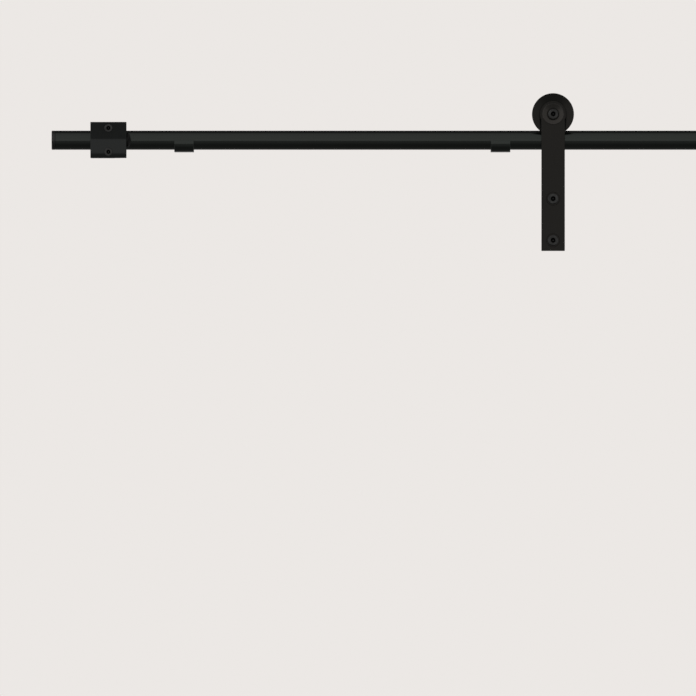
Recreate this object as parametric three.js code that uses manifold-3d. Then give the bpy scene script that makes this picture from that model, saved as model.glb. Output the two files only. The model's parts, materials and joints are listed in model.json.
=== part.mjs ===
// Sliding barn door hardware: a round rail on five wall brackets, a clamped stop with a rubber
// bumper at each end, and two strap hangers whose grooved wheels roll along the top of the rail.
//
// Millimetres. +X runs along the rail, +Y points into the wall and +Z is up. The origin is on the
// wall face of the middle bracket, level with the rail's axis.

import * as THREE from 'three';
import { mergeVertices } from 'three/addons/utils/BufferGeometryUtils.js';
import Module from 'manifold-3d';

// --- driving dimensions ---

const RAIL_LENGTH = 2000;
const RAIL_RADIUS = 12.5;
const RAIL_WALL = 2;
const RAIL_STANDOFF = 38;

const CAP_HEAD = 4.6;
const CAP_PLUG = 15;
const CAP_CHAMFER = 0.8;

const BRACKET_COUNT = 5;
const BRACKET_PITCH = 413.5;
const BRACKET_WIDTH = 25.4;
const BRACKET_PLATE = 4;
const BRACKET_ARM = 7;
const BRACKET_BOTTOM = -15.5;
const BRACKET_TOP = 12;
const BRACKET_FILLET = 3;
const BRACKET_NOSE = 11.5;

const STOP_X = 925.5;
const STOP_SIZE = 47;
const STOP_CORNER = 0.8;
const STOP_FRONT = 35;
const STOP_REAR = 18;
const STOP_REBATE = 8;
const STOP_REBATE_FRONT = 16;
const STOP_SPLIT = 1;
const STOP_SCREW_Z = 15.6;
const BUMPER_RADIUS = 9.6;
const BUMPER_PROUD = 5.5;
const BUMPER_SEAT = 5;
const BUMPER_FORWARD = 22.5;

const HANGER_LEFT_X = -345;
const HANGER_RIGHT_X = 280.4;
const AXLE_HEIGHT = 34;
const STRAP_WIDTH = 30.6;
const STRAP_THICKNESS = 6;
const STRAP_BACK = 17;
const STRAP_BOTTOM = -144.8;
const STRAP_CORNER = 0.8;
const BOLT_RECESS = 8.6;
const BOLT_RECESS_DEPTH = 1.6;
const DOOR_BOLT_HEIGHTS = [-76.6, -130.9];
const DOOR_THICKNESS = 40;

const WHEEL_RADIUS = 27.3;
const WHEEL_HALF_WIDTH = 13;
const GROOVE_RADIUS = 13;
const GROOVE_BOTTOM = 21.2;
const WHEEL_EDGE = 0.8;
const WHEEL_DISH = 1.6;
const WHEEL_DISH_RADIUS = 26.3;
const WHEEL_HUB = 16.4;
const WHEEL_SHOULDER = 9.6;

// --- fits ---

const GAP = 0.3;
const TOUCH = 0.1;
const OVERRUN = 1;

// --- how finely round surfaces are divided ---

const WHEEL_STEPS = 32;
const RAIL_STEPS = 36;
const RING_STEPS = 20;
const SCREW_STEPS = 12;

// --- finishes ---

const powderCoat = { color: 0x1b1c1c, roughness: 0.45, metalness: 0.1 };
const blackOxide = { color: 0x222323, roughness: 0.38, metalness: 0.6 };
const bearingSteel = { color: 0xb8bcbf, roughness: 0.25, metalness: 1.0 };
const zincSteel = { color: 0x9fa3a6, roughness: 0.35, metalness: 1.0 };
const blackRubber = { color: 0x121212, roughness: 0.85, metalness: 0.0 };
const blackPlastic = { color: 0x191a1a, roughness: 0.55, metalness: 0.0 };

const wasm = await Module();
wasm.setup();

// --- geometry helpers ---

// Joins equal corners and drops the flat triangles that a turned profile leaves on its axis.
function weld(geometry) {
  const plain = geometry.clone();
  plain.deleteAttribute('normal');
  plain.deleteAttribute('uv');
  const merged = mergeVertices(plain);
  const kept = [];
  for (let i = 0; i < merged.index.count; i += 3) {
    const [a, b, c] = [0, 1, 2].map((k) => merged.index.getX(i + k));
    if (a !== b && b !== c && c !== a) {
      kept.push(a, b, c);
    }
  }
  merged.setIndex(kept);
  return merged;
}

function toSolid(geometry) {
  const welded = weld(geometry);
  const vertProperties = new Float32Array(welded.attributes.position.array);
  const triVerts = new Uint32Array(welded.index.array);
  return new wasm.Manifold(new wasm.Mesh({ numProp: 3, vertProperties, triVerts }));
}

function toGeometry(solid) {
  const mesh = solid.getMesh();
  const geometry = new THREE.BufferGeometry();
  geometry.setAttribute('position', new THREE.BufferAttribute(mesh.vertProperties, 3));
  geometry.setIndex(new THREE.BufferAttribute(mesh.triVerts, 1));
  return geometry;
}

function cut(geometry, ...tools) {
  return toGeometry(tools.reduce((rest, tool) => rest.subtract(toSolid(tool)), toSolid(geometry)));
}

function join(geometry, ...others) {
  return toGeometry(others.reduce((rest, other) => rest.add(toSolid(other)), toSolid(geometry)));
}

// Turns an outline of [radius, height] pairs about +Y.
function turned(outline, steps = RING_STEPS) {
  return new THREE.LatheGeometry(outline.map(([r, y]) => new THREE.Vector2(r, y)), steps);
}

// A turned ring: its outline is closed back onto its first point.
function turnedRing(outline, steps = RING_STEPS) {
  return turned([...outline, outline[0]], steps);
}

function rod(radius, from, to, steps = SCREW_STEPS) {
  return turned([[0, from], [radius, from], [radius, to], [0, to]], steps);
}

function alongX(geometry) {
  return geometry.rotateZ(-Math.PI / 2);
}

function alongZ(geometry) {
  return geometry.rotateX(Math.PI / 2);
}

// Points of an arc as [radius, height] pairs, angles in degrees from the +radius direction.
function arc(centreR, centreY, radius, fromDeg, toDeg, steps) {
  return Array.from({ length: steps + 1 }, (_, i) => {
    const angle = THREE.MathUtils.degToRad(fromDeg + ((toDeg - fromDeg) * i) / steps);
    return [centreR + radius * Math.cos(angle), centreY + radius * Math.sin(angle)];
  });
}

function rounded(width, height, radius) {
  const [w, h] = [width / 2, height / 2];
  const shape = new THREE.Shape();
  shape.absarc(w - radius, h - radius, radius, 0, Math.PI / 2);
  shape.absarc(radius - w, h - radius, radius, Math.PI / 2, Math.PI);
  shape.absarc(radius - w, radius - h, radius, Math.PI, 1.5 * Math.PI);
  shape.absarc(w - radius, radius - h, radius, 1.5 * Math.PI, 2 * Math.PI);
  return shape;
}

// A flat outline in X and Z, given its thickness along Y from front to back.
function plateXZ(shape, front, back, curveSegments = 4) {
  const depth = back - front;
  const geometry = new THREE.ExtrudeGeometry(shape, { depth, bevelEnabled: false, curveSegments });
  return geometry.rotateX(Math.PI / 2).translate(0, back, 0);
}

function hexBar(acrossFlats, from, to) {
  const corner = acrossFlats / Math.sqrt(3);
  const bar = new THREE.CylinderGeometry(corner, corner, to - from, 6);
  return bar.translate(0, (from + to) / 2, 0);
}

// --- fasteners: each starts with its head's outer face at y = 0 and runs along +Y ---

function capScrew({ head, headHeight, shank, length, socket }) {
  const edge = 0.5;
  const outline = [
    [0, 0],
    [head - edge, 0],
    [head, edge],
    [head, headHeight],
    [shank, headHeight],
    [shank, headHeight + length],
    [0, headHeight + length],
  ];
  return cut(turned(outline, SCREW_STEPS), hexBar(socket, -OVERRUN, headHeight / 2));
}

function panScrew({ head, headHeight, crown, rise, shank, length, socket }) {
  const bulge = Array.from({ length: 3 }, (_, i) => {
    const angle = (Math.PI / 2) * (i / 2);
    return [crown + (head - crown) * Math.sin(angle), rise * (1 - Math.cos(angle))];
  });
  const outline = [
    [0, 0],
    ...bulge,
    [head, headHeight],
    [shank, headHeight],
    [shank, headHeight + length],
    [0, headHeight + length],
  ];
  return cut(turned(outline, SCREW_STEPS), hexBar(socket, -OVERRUN, headHeight * 0.6));
}

function countersunkScrew({ head, rim, shank, length, point, socket }) {
  const cone = head - shank;
  const tip = shank * 0.15;
  const outline = [
    [0, 0],
    [head, 0],
    [head, rim],
    [shank, rim + cone],
    [shank, length - point],
    [tip, length],
    [0, length],
  ];
  return cut(turned(outline, SCREW_STEPS), hexBar(socket, -OVERRUN, cone * 0.6));
}

// The hole that a countersunk screw goes through, with a gap all round.
function countersink({ head, rim, shank, length }) {
  const cone = head - shank;
  const outline = [
    [0, -OVERRUN],
    [head + GAP, -OVERRUN],
    [head + GAP, rim],
    [shank + GAP, rim + cone],
    [shank + GAP, length + OVERRUN],
    [0, length + OVERRUN],
  ];
  return turned(outline, SCREW_STEPS);
}

const wallScrew = { head: 4.6, rim: 0.4, shank: 2.4, length: 44, point: 7, socket: 3 };
const wallScrewHeight = 5.5;
const railScrew = { head: 4.4, rim: 0.4, shank: 2.3, length: 8, point: 1, socket: 3 };
const railScrewBottom = BRACKET_BOTTOM + 0.7;
const stopScrew = { head: 5, headHeight: 6, shank: 2.6, length: 40, socket: 5 };
const doorBolt = { head: 7, headHeight: 4.4, crown: 5.9, rise: 1.1, shank: 3.8, length: 33, socket: 6 };
const axleBolt = { head: 6.5, headHeight: 8, shank: 3.9, length: 38.6, socket: 6 };

// --- rail, in a frame whose X axis is the rail's own axis ---

const bracketXs = Array.from({ length: BRACKET_COUNT }, (_, i) => {
  return (i - (BRACKET_COUNT - 1) / 2) * BRACKET_PITCH;
});

function railTube() {
  const half = RAIL_LENGTH / 2 - CAP_HEAD;
  const inner = RAIL_RADIUS - RAIL_WALL;
  const outline = [[inner, -half], [RAIL_RADIUS, -half], [RAIL_RADIUS, half], [inner, half]];
  const tube = alongX(turnedRing(outline, RAIL_STEPS));
  const holes = bracketXs.map((x) => {
    const hole = rod(railScrew.shank + GAP, -RAIL_RADIUS - OVERRUN, -RAIL_RADIUS / 2);
    return alongZ(hole).translate(x, 0, 0);
  });
  return cut(tube, ...holes);
}

// Its head carries on the tube's outer surface and its plug is inside the tube.
function endCap() {
  const plug = RAIL_RADIUS - RAIL_WALL - GAP;
  const taper = 1;
  return alongX(turned([
    [0, -CAP_PLUG],
    [plug - taper, -CAP_PLUG],
    [plug, -CAP_PLUG + 2 * taper],
    [plug, 0],
    [RAIL_RADIUS, TOUCH],
    [RAIL_RADIUS, CAP_HEAD - CAP_CHAMFER],
    [RAIL_RADIUS - CAP_CHAMFER, CAP_HEAD],
    [0, CAP_HEAD],
  ]));
}

// --- wall bracket, in a frame with the wall face at y = 0 and the rail's axis at z = 0 ---

// Its section, drawn with the distance from the wall along the first axis: a plate against the
// wall, an arm along the bottom and a cradle that ends in an upright lip in front of the rail.
function bracketSection() {
  const seat = RAIL_RADIUS + GAP;
  const outer = -BRACKET_BOTTOM;
  const front = RAIL_STANDOFF + outer;
  const armTop = BRACKET_BOTTOM + BRACKET_ARM;
  const meet = Math.asin(armTop / outer);
  const fillet = BRACKET_PLATE + BRACKET_FILLET;
  const shape = new THREE.Shape();
  shape.moveTo(0, BRACKET_BOTTOM);
  shape.lineTo(front - BRACKET_NOSE, BRACKET_BOTTOM);
  shape.absarc(front - BRACKET_NOSE, BRACKET_BOTTOM + BRACKET_NOSE, BRACKET_NOSE, -Math.PI / 2, 0);
  shape.lineTo(front, 0);
  shape.absarc(RAIL_STANDOFF, 0, seat, 0, -Math.PI, true);
  shape.absarc(RAIL_STANDOFF, 0, outer, Math.PI, Math.PI - meet);
  shape.lineTo(fillet, armTop);
  shape.absarc(fillet, armTop + BRACKET_FILLET, BRACKET_FILLET, -Math.PI / 2, -Math.PI, true);
  shape.lineTo(BRACKET_PLATE, BRACKET_TOP);
  shape.lineTo(0, BRACKET_TOP);
  return shape;
}

function bracket() {
  const settings = { depth: BRACKET_WIDTH, bevelEnabled: false, curveSegments: 5 };
  const body = new THREE.ExtrudeGeometry(bracketSection(), settings);
  body.translate(0, 0, -BRACKET_WIDTH / 2);
  body.rotateX(Math.PI / 2);
  body.rotateZ(-Math.PI / 2);
  const wallHole = countersink(wallScrew).translate(0, -BRACKET_PLATE, wallScrewHeight);
  const railHole = alongZ(countersink(railScrew)).translate(0, -RAIL_STANDOFF, railScrewBottom);
  return cut(body, wallHole, railHole);
}

// --- end stop, in a frame centred on the rail's axis, with its bumper facing +X ---

function stopBlock(front, back, rebateFront) {
  const half = STOP_SIZE / 2;
  const block = plateXZ(rounded(STOP_SIZE, STOP_SIZE, STOP_CORNER), front, back);
  const bore = alongX(rod(RAIL_RADIUS + TOUCH, -half - OVERRUN, half + OVERRUN, RAIL_STEPS));
  const rebateDepth = back - rebateFront + OVERRUN;
  const rebate = new THREE.BoxGeometry(2 * STOP_REBATE, rebateDepth, STOP_SIZE + 2 * OVERRUN);
  rebate.translate(half, rebateFront + rebateDepth / 2, 0);
  const shanks = [-1, 1].map((side) => {
    const hole = rod(stopScrew.shank + 2 * TOUCH, front - OVERRUN, back + OVERRUN);
    return hole.translate(0, 0, side * STOP_SCREW_Z);
  });
  return cut(block, bore, rebate, ...shanks);
}

function stopFrontHalf() {
  const body = stopBlock(-STOP_FRONT, -STOP_SPLIT / 2, -STOP_REBATE_FRONT);
  const counterbores = [-1, 1].map((side) => {
    const mouth = rod(stopScrew.head + 2 * GAP, -STOP_FRONT - OVERRUN, stopScrew.headHeight - STOP_FRONT);
    return mouth.translate(0, 0, side * STOP_SCREW_Z);
  });
  const face = STOP_SIZE / 2;
  const seat = alongX(rod(BUMPER_RADIUS / 2 + GAP, face - BUMPER_SEAT - GAP, face + OVERRUN, RING_STEPS));
  return cut(body, ...counterbores, seat.translate(0, -BUMPER_FORWARD, 0));
}

function stopRearHalf() {
  return stopBlock(STOP_SPLIT / 2, STOP_REAR, STOP_SPLIT / 2);
}

// A rubber dome on a stem, with x = 0 on the face of the block.
function bumper() {
  const rim = 1.6;
  const dome = Array.from({ length: 4 }, (_, i) => {
    const angle = (Math.PI / 2) * (i / 4);
    return [BUMPER_RADIUS * Math.cos(angle), rim + (BUMPER_PROUD - rim) * Math.sin(angle)];
  });
  return alongX(turned([
    [0, -BUMPER_SEAT],
    [BUMPER_RADIUS / 2, -BUMPER_SEAT],
    [BUMPER_RADIUS / 2, TOUCH],
    [BUMPER_RADIUS, TOUCH],
    ...dome,
    [0, BUMPER_PROUD],
  ]));
}

// --- hanger, in a frame centred on the wheel: y = 0 is above the rail's axis, -Y is the front ---

const strapFront = -STRAP_BACK - STRAP_THICKNESS;
const doorBoltSeat = strapFront + BOLT_RECESS_DEPTH;
const bearing = { bore: 4.2, inner: 6, outer: 9.1, rim: 10.8, half: 5.5, ball: 1.9, pitch: 7.5 };
const cage = { balls: 7, halfWidth: 1, halfThickness: 0.6 };
const clip = { depth: 1.3, thickness: 1.2 };

function strap() {
  const half = STRAP_WIDTH / 2;
  const bottom = STRAP_BOTTOM - AXLE_HEIGHT;
  const corner = STRAP_CORNER;
  const topSegments = 8;
  const shape = new THREE.Shape();
  shape.absarc(0, 0, half, 0, Math.PI);
  shape.absarc(corner - half, bottom + corner, corner, Math.PI, 1.5 * Math.PI);
  shape.absarc(half - corner, bottom + corner, corner, 1.5 * Math.PI, 2 * Math.PI);
  const body = plateXZ(shape, strapFront, -STRAP_BACK, topSegments);
  const hole = () => rod(axleBolt.shank + GAP, strapFront - OVERRUN, OVERRUN - STRAP_BACK);
  const recess = () => rod(BOLT_RECESS, strapFront - OVERRUN, doorBoltSeat, RING_STEPS);
  const boltHoles = DOOR_BOLT_HEIGHTS.flatMap((z) => {
    return [hole(), recess()].map((tool) => tool.translate(0, 0, z - AXLE_HEIGHT));
  });
  return cut(body, hole(), ...boltHoles);
}

// A grooved wheel with dished faces, a pocket for its bearing and a shoulder in front of it.
function wheel() {
  const rimRise = WHEEL_RADIUS - GROOVE_BOTTOM;
  const reach = THREE.MathUtils.radToDeg(Math.acos((GROOVE_RADIUS - rimRise) / GROOVE_RADIUS));
  const groove = arc(GROOVE_BOTTOM + GROOVE_RADIUS, 0, GROOVE_RADIUS, 180 + reach, 180 - reach, 6);
  const face = WHEEL_HALF_WIDTH;
  const hubFace = face - WHEEL_DISH;
  const pocket = bearing.rim + TOUCH;
  const pocketEnd = -bearing.half - TOUCH;
  return turnedRing([
    [WHEEL_HUB, -hubFace],
    [WHEEL_DISH_RADIUS, -face],
    [WHEEL_RADIUS - WHEEL_EDGE, -face],
    [WHEEL_RADIUS, WHEEL_EDGE - face],
    ...groove,
    [WHEEL_RADIUS, face - WHEEL_EDGE],
    [WHEEL_RADIUS - WHEEL_EDGE, face],
    [WHEEL_DISH_RADIUS, face],
    [WHEEL_HUB, hubFace],
    [pocket, hubFace],
    [pocket, pocketEnd],
    [WHEEL_SHOULDER, pocketEnd],
    [WHEEL_SHOULDER, -hubFace],
  ], WHEEL_STEPS);
}

// --- bearing ---

function outerRace() {
  const { outer, rim, half, ball, pitch } = bearing;
  const track = ball + GAP;
  const side = THREE.MathUtils.radToDeg(Math.acos((outer - pitch) / track));
  const groove = arc(pitch, 0, track, side, -side, 3);
  return turnedRing([[rim, -half], [rim, half], [outer, half], ...groove, [outer, -half]]);
}

function innerRace() {
  const { bore, inner, half, ball, pitch } = bearing;
  const track = ball + GAP;
  const side = THREE.MathUtils.radToDeg(Math.acos((pitch - inner) / track));
  const groove = arc(pitch, 0, track, 180 + side, 180 - side, 3);
  return turnedRing([[bore, half], [bore, -half], [inner, -half], ...groove, [inner, half]]);
}

// The balls are one piece with the cage that spaces them.
function ballCage() {
  const { ball, pitch } = bearing;
  const { halfWidth: w, halfThickness: t } = cage;
  const ribbon = turnedRing([[pitch - t, -w], [pitch + t, -w], [pitch + t, w], [pitch - t, w]]);
  const balls = Array.from({ length: cage.balls }, (_, i) => {
    const angle = (2 * Math.PI * i) / cage.balls;
    const sphere = new THREE.OctahedronGeometry(ball, 1);
    return sphere.translate(pitch * Math.sin(angle), 0, pitch * Math.cos(angle));
  });
  return join(ribbon, ...balls);
}

function circlip() {
  const outer = bearing.rim - TOUCH;
  const inner = outer - clip.depth;
  const from = bearing.half + TOUCH;
  const to = from + clip.thickness;
  return turnedRing([[inner, from], [outer, from], [outer, to], [inner, to]]);
}

// --- the rest of a hanger ---

function axleSpacer() {
  const from = TOUCH - STRAP_BACK;
  const to = -bearing.half - TOUCH;
  const { bore, inner } = bearing;
  return turnedRing([[bore, from], [inner, from], [inner, to], [bore, to]], SCREW_STEPS);
}

// A turned washer whose front is dished round a flat seat for the bolt's head.
const washer = { radius: 13.8, thickness: 2.4, dish: 1.3, seat: 7 };

function dishedWasher() {
  const back = strapFront - TOUCH;
  const front = back - washer.thickness;
  const edge = 0.5;
  const hole = axleBolt.shank + GAP;
  return turnedRing([
    [hole, front + washer.dish],
    [washer.seat, front + washer.dish],
    [washer.radius - 2 * edge, front],
    [washer.radius - edge, front],
    [washer.radius, front + edge],
    [washer.radius, back],
    [hole, back],
  ], RING_STEPS);
}

const axleHead = strapFront - 2 * TOUCH - washer.thickness + washer.dish - axleBolt.headHeight;

function axleNut() {
  const acrossFlats = 13;
  const from = bearing.half + TOUCH;
  const to = from + 6.5;
  return cut(hexBar(acrossFlats, from, to), rod(axleBolt.shank + GAP, from - OVERRUN, to + OVERRUN));
}

const doorBack = DOOR_THICKNESS - STRAP_BACK;
const sleeve = {
  barrel: 5.2,
  reach: 28,
  floor: 5,
  flange: 2.2,
  flangeRadius: 8,
  edge: 0.7,
  socket: 5,
  socketDepth: 3,
};

// A flanged sleeve that comes through the door from behind and takes the bolt's thread.
function sleeveNut() {
  const { flange, flangeRadius, barrel, reach, floor, edge } = sleeve;
  const bore = doorBolt.shank + GAP;
  const mouth = doorBack - reach;
  const end = doorBack + flange;
  const outline = [
    [bore, mouth],
    [barrel, mouth],
    [barrel, doorBack],
    [flangeRadius, doorBack],
    [flangeRadius, end - edge],
    [flangeRadius - edge, end],
    [0, end],
    [0, doorBack - floor],
    [bore, doorBack - floor],
  ];
  const socket = hexBar(sleeve.socket, end - sleeve.socketDepth, end + OVERRUN);
  return cut(turnedRing(outline, SCREW_STEPS), socket);
}

// --- assembly ---

const group = new THREE.Group();

function add(parent, name, geometry, finish, x = 0, y = 0, z = 0) {
  const mesh = new THREE.Mesh(geometry, new THREE.MeshStandardMaterial(finish));
  mesh.name = name;
  mesh.position.set(x, y, z);
  parent.add(mesh);
  return mesh;
}

function addRail() {
  const rail = new THREE.Group();
  rail.position.y = -RAIL_STANDOFF;
  add(rail, 'rail_tube', railTube(), powderCoat);
  const capX = RAIL_LENGTH / 2 - CAP_HEAD;
  add(rail, 'end_cap_right', endCap(), blackPlastic, capX);
  const left = add(rail, 'end_cap_left', endCap(), blackPlastic, -capX);
  left.rotation.z = Math.PI;
  group.add(rail);
}

function addBrackets() {
  bracketXs.forEach((x, i) => {
    const number = i + 1;
    const place = new THREE.Group();
    place.position.x = x;
    add(place, `bracket_${number}`, bracket(), powderCoat);
    const wall = countersunkScrew(wallScrew);
    add(place, `wall_screw_${number}`, wall, zincSteel, 0, -BRACKET_PLATE, wallScrewHeight);
    const rail = alongZ(countersunkScrew(railScrew));
    add(place, `rail_screw_${number}`, rail, blackOxide, 0, -RAIL_STANDOFF, railScrewBottom);
    group.add(place);
  });
}

// facing is 1 where the bumper points along +X, and -1 where the stop is turned about to face -X.
function addStop(side, x, facing) {
  const place = new THREE.Group();
  place.position.set(x, -RAIL_STANDOFF, 0);
  const turn = (geometry) => (facing > 0 ? geometry : mirroredInX(geometry));
  add(place, `stop_${side}_front_half`, turn(stopFrontHalf()), powderCoat);
  add(place, `stop_${side}_rear_half`, turn(stopRearHalf()), powderCoat);
  add(place, `stop_${side}_bumper`, turn(bumper()), blackRubber, facing * STOP_SIZE / 2, -BUMPER_FORWARD);
  const headFace = -STOP_FRONT - TOUCH;
  add(place, `stop_${side}_screw_upper`, capScrew(stopScrew), blackOxide, 0, headFace, STOP_SCREW_Z);
  add(place, `stop_${side}_screw_lower`, capScrew(stopScrew), blackOxide, 0, headFace, -STOP_SCREW_Z);
  group.add(place);
}

// The opposite hand of a piece: X is negated and the triangles are wound the other way round.
function mirroredInX(geometry) {
  const mirrored = weld(geometry);
  mirrored.scale(-1, 1, 1);
  const index = mirrored.index.array;
  for (let i = 0; i < index.length; i += 3) {
    [index[i], index[i + 1]] = [index[i + 1], index[i]];
  }
  return mirrored;
}

function addHanger(side, x) {
  const place = new THREE.Group();
  place.position.set(x, -RAIL_STANDOFF, AXLE_HEIGHT);
  add(place, `strap_${side}`, strap(), powderCoat);
  add(place, `wheel_${side}`, wheel(), powderCoat);
  add(place, `bearing_${side}_outer_race`, outerRace(), bearingSteel);
  add(place, `bearing_${side}_inner_race`, innerRace(), bearingSteel);
  add(place, `bearing_${side}_ball_cage`, ballCage(), bearingSteel);
  add(place, `circlip_${side}`, circlip(), blackOxide);
  add(place, `axle_spacer_${side}`, axleSpacer(), zincSteel);
  add(place, `axle_washer_${side}`, dishedWasher(), powderCoat);
  add(place, `axle_bolt_${side}`, capScrew(axleBolt), blackOxide, 0, axleHead);
  add(place, `axle_nut_${side}`, axleNut(), zincSteel);
  ['upper', 'lower'].forEach((level, i) => {
    const z = DOOR_BOLT_HEIGHTS[i] - AXLE_HEIGHT;
    const headFace = doorBoltSeat - TOUCH - doorBolt.headHeight;
    add(place, `door_bolt_${side}_${level}`, panScrew(doorBolt), blackOxide, 0, headFace, z);
    add(place, `sleeve_nut_${side}_${level}`, sleeveNut(), blackOxide, 0, 0, z);
  });
  group.add(place);
}

addRail();
addBrackets();
addStop('left', -STOP_X, 1);
addStop('right', STOP_X, -1);
addHanger('left', HANGER_LEFT_X);
addHanger('right', HANGER_RIGHT_X);

export default group;
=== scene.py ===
import json
import math

import bmesh
import bpy
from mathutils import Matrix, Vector


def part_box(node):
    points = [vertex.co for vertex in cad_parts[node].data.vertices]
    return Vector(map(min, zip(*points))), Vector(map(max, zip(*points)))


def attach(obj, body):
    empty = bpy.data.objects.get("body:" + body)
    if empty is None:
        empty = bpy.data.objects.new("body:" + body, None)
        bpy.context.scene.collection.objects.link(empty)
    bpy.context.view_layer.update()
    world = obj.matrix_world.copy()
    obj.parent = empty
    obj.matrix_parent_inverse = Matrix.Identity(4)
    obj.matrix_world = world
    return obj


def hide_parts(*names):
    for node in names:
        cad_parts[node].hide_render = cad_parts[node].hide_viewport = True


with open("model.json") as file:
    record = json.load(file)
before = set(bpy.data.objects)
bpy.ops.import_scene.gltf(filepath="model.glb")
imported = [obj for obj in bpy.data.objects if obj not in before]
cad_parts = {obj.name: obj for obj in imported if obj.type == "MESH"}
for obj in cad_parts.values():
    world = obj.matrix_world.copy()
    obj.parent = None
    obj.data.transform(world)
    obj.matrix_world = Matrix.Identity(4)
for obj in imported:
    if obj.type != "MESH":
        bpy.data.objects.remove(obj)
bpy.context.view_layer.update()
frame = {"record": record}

bl_info = {
    "name": "Sliding Barn Door Hardware",
    "version": (1, 0, 0),
    "blender": (4, 5, 0),
    "location": "View3D > Sidebar > Barn Door",
    "description": "Makes a round rail, its brackets and stops, two roller hangers and a studio round them",
    "category": "Add Mesh",
}

MM = 0.001
SIDES = ("left", "right")
LEVELS = ("upper", "lower")
BRACKETS = range(1, 6)
ALONG = Vector((1, 0, 0))
BACK = Vector((0, 1, 0))
UP = Vector((0, 0, 1))

BOLT_HOLE = 4.2 * MM  # radius of the holes that an M8 bolt passes through
BALL_CIRCLE = 7.5 * MM  # radius of the circle that a bearing's balls run on
HEAD_RIM = 0.4 * MM  # height of the straight rim round a countersunk head
WALL_SCREW = {"head": 4.6 * MM, "shank": 2.4 * MM}
RAIL_SCREW = {"head": 4.4 * MM, "shank": 2.3 * MM}


# --- places, read from the frame ---

def middle(node):
    """The middle of a CAD node's box."""
    low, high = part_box(node)
    return (low + high) / 2


def size(node):
    """The width, depth and height of a CAD node's box."""
    low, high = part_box(node)
    return high - low


def front(node):
    """The middle of a CAD node's front, where a screw that points backwards has its head."""
    spot = middle(node)
    spot.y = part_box(node)[0].y
    return spot


def underside(node):
    """The middle of a CAD node's underside, where a screw that points upwards has its head."""
    spot = middle(node)
    spot.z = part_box(node)[0].z
    return spot


RAIL = middle("rail_tube")
RAIL_RADIUS = size("rail_tube").z / 2
AXLE = {side: middle(f"wheel_{side}") for side in SIDES}
BODY_OF = {node: body for body, nodes in frame["record"]["behaviour"]["bodies"].items() for node in nodes}
SLOT_OF = {part["node"]: part["material_slot"] for part in frame["record"]["subparts"]}


# --- sizes and colours that a user would change ---

def length(name, description, default):
    """A length, with its default in metres."""
    return bpy.props.FloatProperty(
        name=name, description=description, default=default, min=0.0, unit="LENGTH", precision=5
    )


def colour(name, description, default):
    """A linear colour."""
    return bpy.props.FloatVectorProperty(
        name=name, description=description, default=default, size=3, min=0.0, max=1.0, subtype="COLOR"
    )


def share(name, description, default):
    """A number from 0 to 1."""
    return bpy.props.FloatProperty(
        name=name, description=description, default=default, min=0.0, max=1.0, subtype="FACTOR"
    )


class BarnDoorSizes(bpy.types.PropertyGroup):
    """Sizes of the hardware that its boxes don't give"""

    edge: length("Edge", "Radius of the broken edges on plates and blocks", 0.6 * MM)
    fine_edge: length("Fine edge", "Radius of the broken edges on small turned pieces", 0.25 * MM)
    rail_wall: length("Rail wall", "Thickness of the rail's wall", 2 * MM)
    seat_gap: length("Seat gap", "Space between the rail and a bracket's cradle", 0.3 * MM)
    plate: length("Bracket plate", "Thickness of a bracket's plate", 4 * MM)
    arm: length("Bracket arm", "Thickness of a bracket's arm", 7 * MM)
    fillet: length("Bracket fillet", "Radius between a bracket's plate and its arm", 3 * MM)
    nose: length("Bracket nose", "Radius under the front of a bracket's cradle", 11.5 * MM)
    crease: length("Stop crease", "Height of the crease on a stop's front above the rail's axis", 0.3 * MM)
    lean: length("Stop lean", "How far back a stop's crease is from its top edge", 2.6 * MM)
    rebate: length("Stop rebate", "Depth of the relief on a stop's inner side", 8 * MM)
    counterbore: length("Counterbore", "Radius of the recess round a door bolt", 8.6 * MM)
    counterbore_depth: length("Counterbore depth", "Depth of the recess round a door bolt", 1.6 * MM)
    groove: length("Wheel groove", "Radius of the groove that fits the rail", 13 * MM)
    groove_bottom: length("Groove bottom", "Radius of a wheel at the bottom of its groove", 21.2 * MM)
    dish: length("Wheel dish", "Depth of the dish in a wheel's faces", 1.1 * MM)


class BarnDoorFinishes(bpy.types.PropertyGroup):
    """Colours and glosses of the finishes"""

    coat: colour("Powder coat", "Colour of the powder coat", (0.0030, 0.0038, 0.0034))
    coat_roughness: share("Powder coat roughness", "Roughness of the powder coat", 0.15)
    rail_gloss: share("Rail gloss", "Specular level of the coat on the rail, brackets and washers", 0.50)
    stop_gloss: share("Stop gloss", "Specular level of the coat on the stops", 0.33)
    hanger_gloss: share("Hanger gloss", "Specular level of the coat on the straps and wheels", 0.23)
    oxide: colour("Black oxide", "Colour of the blackened screws", (0.036, 0.0365, 0.036))
    rubber: colour("Rubber", "Colour of the bumpers", (0.004, 0.004, 0.004))
    plastic: colour("Plastic", "Colour of the end caps", (0.0034, 0.0038, 0.0036))
    zinc: colour("Zinc plate", "Colour of the plated screws and spacers", (0.50, 0.51, 0.52))
    steel: colour("Bearing steel", "Colour of the bearings", (0.58, 0.59, 0.60))


# --- shaders ---

class Wire:
    """A socket that gives a number: each operator adds one Math node."""

    def __init__(self, recipe, socket):
        self.recipe = recipe
        self.socket = socket

    def maths(self, operation, *terms):
        return self.recipe.node("ShaderNodeMath", {"operation": operation}, dict(enumerate(terms)))

    def __add__(self, other):
        return self.maths("ADD", self, other)

    def __sub__(self, other):
        return self.maths("SUBTRACT", self, other)

    def __rsub__(self, other):
        return self.maths("SUBTRACT", other, self)

    def __mul__(self, other):
        return self.maths("MULTIPLY", self, other)

    __radd__ = __add__
    __rmul__ = __mul__


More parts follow.
